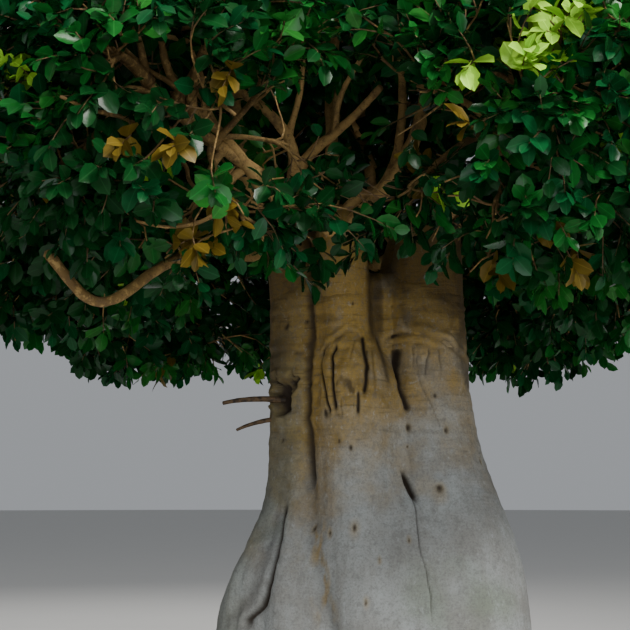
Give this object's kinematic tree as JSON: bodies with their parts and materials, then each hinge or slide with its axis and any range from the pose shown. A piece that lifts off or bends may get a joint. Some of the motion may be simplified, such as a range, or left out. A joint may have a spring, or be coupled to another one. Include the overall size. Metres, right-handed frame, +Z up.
{
  "type": "ficus bonsai",
  "caption": "Garden-size ficus bonsai rooted in the ground: fused, fluted trunk on swollen roots, boughs fanning from its fork, clipped dome of leafy masses.",
  "frame": {"origin": "middle of the flat cut at ground level, under the trunk", "axes": "+Z up; +Y away from a viewer who faces the tree's front; +X to that viewer's right"},
  "size_m": [1.9586, 1.8809, 2.1814],
  "materials": {
    "bark": "matt grey bark, tan above the graft scars",
    "limb_bark": "matt brown bark",
    "foliage": "glossy leathery leaves"
  },
  "bodies": {
    "root": {"bough_high_back": "limb_bark", "bough_high_front_left": "limb_bark", "bough_high_front_right": "limb_bark", "bough_high_left": "limb_bark", "bough_high_right": "limb_bark", "bough_loop": "limb_bark", "bough_low_back": "limb_bark", "bough_low_back_left": "limb_bark", "bough_low_back_right": "limb_bark", "bough_low_front_left": "limb_bark", "bough_low_front_right": "limb_bark", "bough_low_left": "limb_bark", "bough_low_right": "limb_bark", "bough_top": "limb_bark", "foliage_high_back": "foliage", "foliage_high_front_left": "foliage", "foliage_high_front_right": "foliage", "foliage_high_left": "foliage", "foliage_high_right": "foliage", "foliage_low_back": "foliage", "foliage_low_back_left": "foliage", "foliage_low_back_right": "foliage", "foliage_low_front_left": "foliage", "foliage_low_front_right": "foliage", "foliage_low_left": "foliage", "foliage_low_right": "foliage", "foliage_top": "foliage", "trunk": "bark"}
  },
  "joints": []
}
